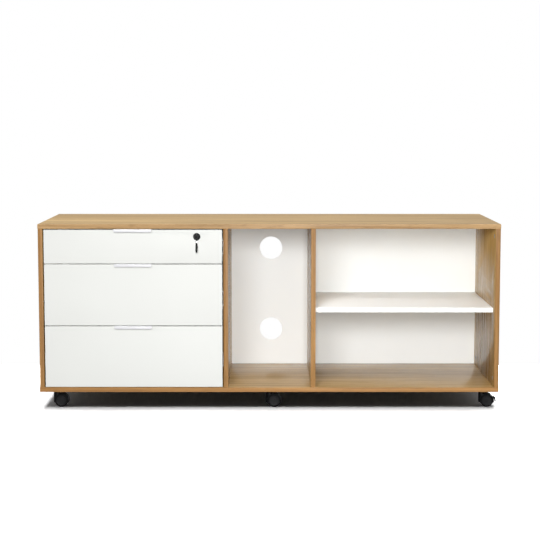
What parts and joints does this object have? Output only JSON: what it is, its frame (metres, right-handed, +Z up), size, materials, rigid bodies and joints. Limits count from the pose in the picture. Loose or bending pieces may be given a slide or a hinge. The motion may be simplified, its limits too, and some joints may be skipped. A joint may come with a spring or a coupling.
{
  "type": "filing cabinet",
  "caption": "Low mobile office cabinet with lockable drawers beside an open bay with cable holes and an open bay with a shelf, on hooded casters.",
  "frame": {"origin": "on the floor under the middle of the whole object's box", "axes": "+X along the width to the viewer's right, +Y from the drawers' fronts to the back, +Z up"},
  "size_m": [1.5, 0.5214, 0.606],
  "materials": {
    "oak_laminate": "satin oak grain",
    "white_laminate": "satin white",
    "drawer_board": "matte white",
    "white_metal": "powder coated",
    "slide_steel": "zinc plated",
    "black_lock": "satin black",
    "key_metal": "polished",
    "key_plastic": "moulded black",
    "caster_plate_metal": "black",
    "caster_plastic": "moulded black",
    "wheel_plastic": "moulded black"
  },
  "bodies": {
    "case": {"top_panel": "oak_laminate", "bottom_panel": "oak_laminate", "side_panel_left": "oak_laminate", "divider_left": "oak_laminate", "divider_right": "oak_laminate", "side_panel_right": "oak_laminate", "back_panel_left": "white_laminate", "back_panel_middle": "white_laminate", "back_panel_right": "white_laminate", "shelf": "white_laminate", "shelf_pins": "slide_steel", "slide_cabinet_rails": "slide_steel", "caster_plates": "caster_plate_metal"},
    "drawer_top": {"drawer_top_front": "white_laminate", "drawer_top_side_left": "drawer_board", "drawer_top_side_right": "drawer_board", "drawer_top_back": "drawer_board", "drawer_top_base": "drawer_board", "drawer_top_pull": "white_metal", "drawer_top_slide_rails": "slide_steel", "lock_housing": "black_lock", "lock_cover": "black_lock"},
    "runner_top": {"slide_top_middle_rails": "slide_steel"},
    "drawer_middle": {"drawer_middle_front": "white_laminate", "drawer_middle_side_left": "drawer_board", "drawer_middle_side_right": "drawer_board", "drawer_middle_back": "drawer_board", "drawer_middle_base": "drawer_board", "drawer_middle_pull": "white_metal", "drawer_middle_slide_rails": "slide_steel"},
    "runner_middle": {"slide_middle_middle_rails": "slide_steel"},
    "drawer_bottom": {"drawer_bottom_front": "white_laminate", "drawer_bottom_side_left": "drawer_board", "drawer_bottom_side_right": "drawer_board", "drawer_bottom_back": "drawer_board", "drawer_bottom_base": "drawer_board", "drawer_bottom_pull": "white_metal", "drawer_bottom_slide_rails": "slide_steel"},
    "runner_bottom": {"slide_bottom_middle_rails": "slide_steel"},
    "lock_core": {"lock_plug": "black_lock", "key_blade": "key_metal"},
    "lock_bolt": {"lock_bolt": "slide_steel"},
    "key_head": {"key_yoke": "key_metal", "key_grip": "key_plastic"},
    "caster_front_left": {"caster_front_left_hood": "caster_plastic"},
    "wheels_front_left": {"caster_front_left_wheels": "wheel_plastic"},
    "caster_front_centre": {"caster_front_centre_hood": "caster_plastic"},
    "wheels_front_centre": {"caster_front_centre_wheels": "wheel_plastic"},
    "caster_front_right": {"caster_front_right_hood": "caster_plastic"},
    "wheels_front_right": {"caster_front_right_wheels": "wheel_plastic"},
    "brake_front_right": {"caster_front_right_brake": "caster_plastic"},
    "caster_rear_left": {"caster_rear_left_hood": "caster_plastic"},
    "wheels_rear_left": {"caster_rear_left_wheels": "wheel_plastic"},
    "brake_rear_left": {"caster_rear_left_brake": "caster_plastic"},
    "caster_rear_centre": {"caster_rear_centre_hood": "caster_plastic"},
    "wheels_rear_centre": {"caster_rear_centre_wheels": "wheel_plastic"},
    "caster_rear_right": {"caster_rear_right_hood": "caster_plastic"},
    "wheels_rear_right": {"caster_rear_right_wheels": "wheel_plastic"}
  },
  "joints": [
    {"name": "drawer_top_slide", "type": "slide", "parent": "case", "child": "drawer_top", "axis": [0, -1, 0], "range_m": [0, 0.38]},
    {"name": "runner_top_slide", "type": "slide", "parent": "case", "child": "runner_top", "axis": [0, -1, 0], "range_m": [0, 0.19]},
    {"name": "drawer_middle_slide", "type": "slide", "parent": "case", "child": "drawer_middle", "axis": [0, -1, 0], "range_m": [0, 0.38]},
    {"name": "runner_middle_slide", "type": "slide", "parent": "case", "child": "runner_middle", "axis": [0, -1, 0], "range_m": [0, 0.19]},
    {"name": "drawer_bottom_slide", "type": "slide", "parent": "case", "child": "drawer_bottom", "axis": [0, -1, 0], "range_m": [0, 0.38]},
    {"name": "runner_bottom_slide", "type": "slide", "parent": "case", "child": "runner_bottom", "axis": [0, -1, 0], "range_m": [0, 0.19]},
    {"name": "lock_turn", "type": "hinge", "parent": "drawer_top", "child": "lock_core", "pos_m": [-0.2345, -0.23825, 0.5655], "axis": [0, 1, 0], "range_deg": [0, 90]},
    {"name": "bolt_lift", "type": "slide", "parent": "drawer_top", "child": "lock_bolt", "axis": [0, 0, 1], "range_m": [0, 0.0085]},
    {"name": "key_fold", "type": "hinge", "parent": "lock_core", "child": "key_head", "pos_m": [-0.2345, -0.25125, 0.5655], "axis": [-1, 0, 0], "range_deg": [0, 90]},
    {"name": "caster_front_left_swivel", "type": "hinge", "parent": "case", "child": "caster_front_left", "pos_m": [-0.701, -0.18925, 0.056], "axis": [0, 0, 1], "continuous": true},
    {"name": "wheels_front_left_roll", "type": "hinge", "parent": "caster_front_left", "child": "wheels_front_left", "pos_m": [-0.685, -0.18925, 0.021], "axis": [0, 1, 0], "continuous": true},
    {"name": "caster_front_centre_swivel", "type": "hinge", "parent": "case", "child": "caster_front_centre", "pos_m": [0, -0.18925, 0.056], "axis": [0, 0, 1], "continuous": true},
    {"name": "wheels_front_centre_roll", "type": "hinge", "parent": "caster_front_centre", "child": "wheels_front_centre", "pos_m": [0.016, -0.18925, 0.021], "axis": [0, 1, 0], "continuous": true},
    {"name": "caster_front_right_swivel", "type": "hinge", "parent": "case", "child": "caster_front_right", "pos_m": [0.701, -0.18925, 0.056], "axis": [0, 0, 1], "continuous": true},
    {"name": "wheels_front_right_roll", "type": "hinge", "parent": "caster_front_right", "child": "wheels_front_right", "pos_m": [0.717, -0.18925, 0.021], "axis": [0, 1, 0], "continuous": true},
    {"name": "brake_front_right_tilt", "type": "hinge", "parent": "caster_front_right", "child": "brake_front_right", "pos_m": [0.74154, -0.18925, 0.02897], "axis": [0, 1, 0], "range_deg": [0, 18]},
    {"name": "caster_rear_left_swivel", "type": "hinge", "parent": "case", "child": "caster_rear_left", "pos_m": [-0.701, 0.21075, 0.056], "axis": [0, 0, 1], "continuous": true},
    {"name": "wheels_rear_left_roll", "type": "hinge", "parent": "caster_rear_left", "child": "wheels_rear_left", "pos_m": [-0.685, 0.21075, 0.021], "axis": [0, 1, 0], "continuous": true},
    {"name": "brake_rear_left_tilt", "type": "hinge", "parent": "caster_rear_left", "child": "brake_rear_left", "pos_m": [-0.66046, 0.21075, 0.02897], "axis": [0, 1, 0], "range_deg": [0, 18]},
    {"name": "caster_rear_centre_swivel", "type": "hinge", "parent": "case", "child": "caster_rear_centre", "pos_m": [0, 0.21075, 0.056], "axis": [0, 0, 1], "continuous": true},
    {"name": "wheels_rear_centre_roll", "type": "hinge", "parent": "caster_rear_centre", "child": "wheels_rear_centre", "pos_m": [0.016, 0.21075, 0.021], "axis": [0, 1, 0], "continuous": true},
    {"name": "caster_rear_right_swivel", "type": "hinge", "parent": "case", "child": "caster_rear_right", "pos_m": [0.701, 0.21075, 0.056], "axis": [0, 0, 1], "continuous": true},
    {"name": "wheels_rear_right_roll", "type": "hinge", "parent": "caster_rear_right", "child": "wheels_rear_right", "pos_m": [0.717, 0.21075, 0.021], "axis": [0, 1, 0], "continuous": true}
  ],
  "couplings": [
    {"joint": "runner_top_slide", "follows": "drawer_top_slide", "ratio": 0.5},
    {"joint": "runner_middle_slide", "follows": "drawer_middle_slide", "ratio": 0.5},
    {"joint": "runner_bottom_slide", "follows": "drawer_bottom_slide", "ratio": 0.5},
    {"joint": "bolt_lift", "follows": "lock_turn", "m_per_rad": 0.0054019}
  ]
}
